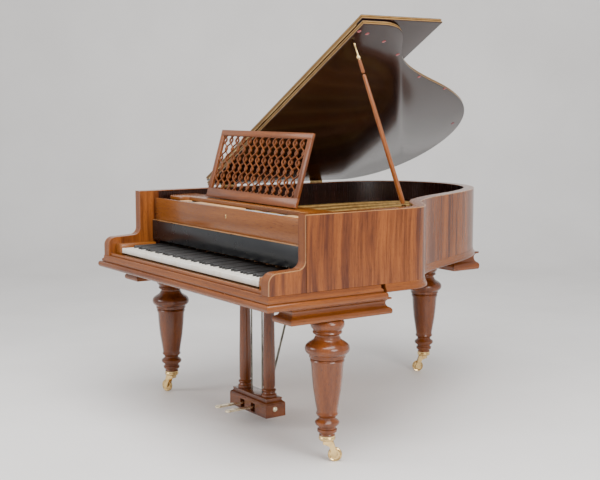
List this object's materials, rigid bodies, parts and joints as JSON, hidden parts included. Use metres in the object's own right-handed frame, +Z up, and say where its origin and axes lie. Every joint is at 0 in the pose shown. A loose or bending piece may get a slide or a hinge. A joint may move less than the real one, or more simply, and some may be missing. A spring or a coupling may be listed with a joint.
{
  "type": "grand piano",
  "caption": "Victorian boudoir grand piano on three turned legs with brass castors, propped lid, fretwork music desk and pedal lyre.",
  "frame": {"origin": "on the floor, under the middle of the piano", "axes": "+Z up, +Y from the player towards the tail, +X towards the treble end of the keyboard"},
  "size_m": [1.4668, 1.784, 1.7362],
  "materials": {
    "case_walnut": "polished",
    "moulding_walnut": "polished",
    "turned_walnut": "polished",
    "desk_walnut": "polished",
    "prop_wood": "polished",
    "lid_mahogany": "high polish",
    "ebonised": "high polish",
    "ivory": "satin",
    "ebony": "satin",
    "brass": "polished",
    "gold_iron": "gilded paint",
    "spruce": "varnished",
    "maple": "plain",
    "steel_rod": "aged",
    "damper_felt": "felt"
  },
  "bodies": {
    "case": {"rim": "case_walnut", "plinth": "moulding_walnut", "base_moulding": "moulding_walnut", "keybed": "moulding_walnut", "key_slip": "moulding_walnut", "bass_key_block": "moulding_walnut", "treble_key_block": "moulding_walnut", "soundboard": "spruce", "bass_brace": "maple", "treble_brace": "maple", "pin_block": "maple", "iron_frame": "gold_iron", "treble_bridge": "maple", "music_shelf": "case_walnut", "bass_leg": "turned_walnut", "treble_leg": "turned_walnut", "rear_leg": "turned_walnut", "bass_castor_cup": "brass", "treble_castor_cup": "brass", "rear_castor_cup": "brass", "bass_trestle": "turned_walnut", "treble_trestle": "turned_walnut", "rear_trestle": "turned_walnut", "lyre_box": "turned_walnut", "bass_lyre_column": "turned_walnut", "treble_lyre_column": "turned_walnut", "lyre_brace": "steel_rod", "front_lid_hinge": "brass", "rear_lid_hinge": "brass", "prop_bracket": "brass"},
    "lid": {"lid_main": "lid_mahogany", "flap_hinge": "brass"},
    "flap": {"lid_flap": "lid_mahogany"},
    "prop_lower": {"prop_stick": "prop_wood"},
    "prop_upper": {"prop_head": "prop_wood", "prop_pin": "brass"},
    "fallboard": {"name_panel": "ebonised", "fall_panel": "case_walnut"},
    "desk": {"music_desk": "desk_walnut"},
    "keyboard": {"key_frame": "maple", "bass_naturals": "ivory", "treble_naturals": "ivory", "bass_sharps": "ebony", "treble_sharps": "ebony"},
    "dampers": {"damper_rail": "damper_felt"},
    "pedal_left": {"left_pedal": "brass"},
    "pedal_right": {"right_pedal": "brass"},
    "rod_left": {"left_pedal_rod": "steel_rod"},
    "rod_right": {"right_pedal_rod": "steel_rod"},
    "key_c_lever": {"key_c": "ivory"},
    "key_c_sharp_lever": {"key_c_sharp": "ebony"},
    "key_d_lever": {"key_d": "ivory"},
    "key_d_sharp_lever": {"key_d_sharp": "ebony"},
    "key_e_lever": {"key_e": "ivory"},
    "bass_swivel": {"bass_castor_fork": "brass"},
    "bass_roller": {"bass_castor_wheel": "brass"},
    "treble_swivel": {"treble_castor_fork": "brass"},
    "treble_roller": {"treble_castor_wheel": "brass"},
    "rear_swivel": {"rear_castor_fork": "brass"},
    "rear_roller": {"rear_castor_wheel": "brass"}
  },
  "joints": [
    {"name": "lid_hinge", "type": "hinge", "parent": "case", "child": "lid", "pos_m": [-0.7225, 0.108, 0.992], "axis": [0, -1, 0], "range_deg": [-29.6, 0]},
    {"name": "flap_hinge_turn", "type": "hinge", "parent": "lid", "child": "flap", "pos_m": [-0.12077, -0.312, 1.34993], "axis": [0.8695, 0, 0.4939], "range_deg": [0, 130]},
    {"name": "prop_foot_turn", "type": "hinge", "parent": "case", "child": "prop_lower", "pos_m": [0.47, -0.042, 0.96], "axis": [0.9859, 0.1386, 0.094], "range_deg": [0, 70.64]},
    {"name": "prop_head_turn", "type": "hinge", "parent": "lid", "child": "prop_upper", "pos_m": [0.43986, -0.288, 1.63851], "axis": [0.999, 0, 0.0444], "range_deg": [0, 50.09]},
    {"name": "fallboard_hinge", "type": "hinge", "parent": "case", "child": "fallboard", "pos_m": [0, -0.63, 0.762], "axis": [1, 0, 0], "range_deg": [0, 89]},
    {"name": "desk_hinge", "type": "hinge", "parent": "case", "child": "desk", "pos_m": [-0.035, -0.486, 0.961], "axis": [1, 0, 0], "range_deg": [-15, 0]},
    {"name": "keyboard_shift", "type": "slide", "parent": "case", "child": "keyboard", "axis": [1, 0, 0], "range_m": [0, 0.003], "stiffness_N_per_m": 3000, "springref_m": -0.006},
    {"name": "left_pedal_turn", "type": "hinge", "parent": "case", "child": "pedal_left", "pos_m": [-0.043, -0.513, 0.076], "axis": [1, 0, 0], "range_deg": [0, 5.1]},
    {"name": "left_rod_lift", "type": "slide", "parent": "case", "child": "rod_left", "axis": [0, 0, 1], "range_m": [0, 0.0033]},
    {"name": "right_pedal_turn", "type": "hinge", "parent": "case", "child": "pedal_right", "pos_m": [0.043, -0.513, 0.076], "axis": [1, 0, 0], "range_deg": [0, 5], "stiffness_Nm_per_rad": 20, "springref_deg": -6.88},
    {"name": "right_rod_lift", "type": "slide", "parent": "case", "child": "rod_right", "axis": [0, 0, 1], "range_m": [0, 0.0033]},
    {"name": "damper_lift", "type": "slide", "parent": "case", "child": "dampers", "axis": [0, 0, 1], "range_m": [0, 0.0045]},
    {"name": "key_c_press", "type": "hinge", "parent": "keyboard", "child": "key_c_lever", "pos_m": [-0.03975, -0.642, 0.7], "axis": [1, 0, 0], "range_deg": [0, 2.8], "stiffness_Nm_per_rad": 0.6, "springref_deg": -20.05},
    {"name": "key_c_sharp_press", "type": "hinge", "parent": "keyboard", "child": "key_c_sharp_lever", "pos_m": [-0.028, -0.642, 0.7], "axis": [1, 0, 0], "range_deg": [0, 2.8], "stiffness_Nm_per_rad": 0.6, "springref_deg": -20.05},
    {"name": "key_d_press", "type": "hinge", "parent": "keyboard", "child": "key_d_lever", "pos_m": [-0.01625, -0.642, 0.7], "axis": [1, 0, 0], "range_deg": [0, 2.8], "stiffness_Nm_per_rad": 0.6, "springref_deg": -20.05},
    {"name": "key_d_sharp_press", "type": "hinge", "parent": "keyboard", "child": "key_d_sharp_lever", "pos_m": [-0.0045, -0.642, 0.7], "axis": [1, 0, 0], "range_deg": [0, 2.8], "stiffness_Nm_per_rad": 0.6, "springref_deg": -20.05},
    {"name": "key_e_press", "type": "hinge", "parent": "keyboard", "child": "key_e_lever", "pos_m": [0.00725, -0.642, 0.7], "axis": [1, 0, 0], "range_deg": [0, 2.8], "stiffness_Nm_per_rad": 0.6, "springref_deg": -20.05},
    {"name": "bass_castor_swivel", "type": "hinge", "parent": "case", "child": "bass_swivel", "pos_m": [-0.644, -0.56, 0.082], "axis": [0, 0, 1], "continuous": true},
    {"name": "bass_castor_roll", "type": "hinge", "parent": "bass_swivel", "child": "bass_roller", "pos_m": [-0.67313, -0.5706, 0.028], "axis": [0.342, -0.9397, 0], "continuous": true},
    {"name": "treble_castor_swivel", "type": "hinge", "parent": "case", "child": "treble_swivel", "pos_m": [0.644, -0.56, 0.082], "axis": [0, 0, 1], "continuous": true},
    {"name": "treble_castor_roll", "type": "hinge", "parent": "treble_swivel", "child": "treble_roller", "pos_m": [0.66134, -0.5343, 0.028], "axis": [-0.829, 0.5592, 0], "continuous": true},
    {"name": "rear_castor_swivel", "type": "hinge", "parent": "case", "child": "rear_swivel", "pos_m": [-0.285, 0.728, 0.082], "axis": [0, 0, 1], "continuous": true},
    {"name": "rear_castor_roll", "type": "hinge", "parent": "rear_swivel", "child": "rear_roller", "pos_m": [-0.30234, 0.7023, 0.028], "axis": [0.829, -0.5592, 0], "continuous": true}
  ],
  "couplings": [
    {"joint": "prop_foot_turn", "follows": "lid_hinge", "ratio": -2.3864},
    {"joint": "prop_head_turn", "follows": "lid_hinge", "ratio": -1.692},
    {"joint": "left_pedal_turn", "follows": "keyboard_shift", "rad_per_m": 29.1},
    {"joint": "left_rod_lift", "follows": "keyboard_shift", "ratio": 1.04},
    {"joint": "right_rod_lift", "follows": "right_pedal_turn", "m_per_rad": 0.036},
    {"joint": "damper_lift", "follows": "right_pedal_turn", "m_per_rad": 0.05}
  ]
}
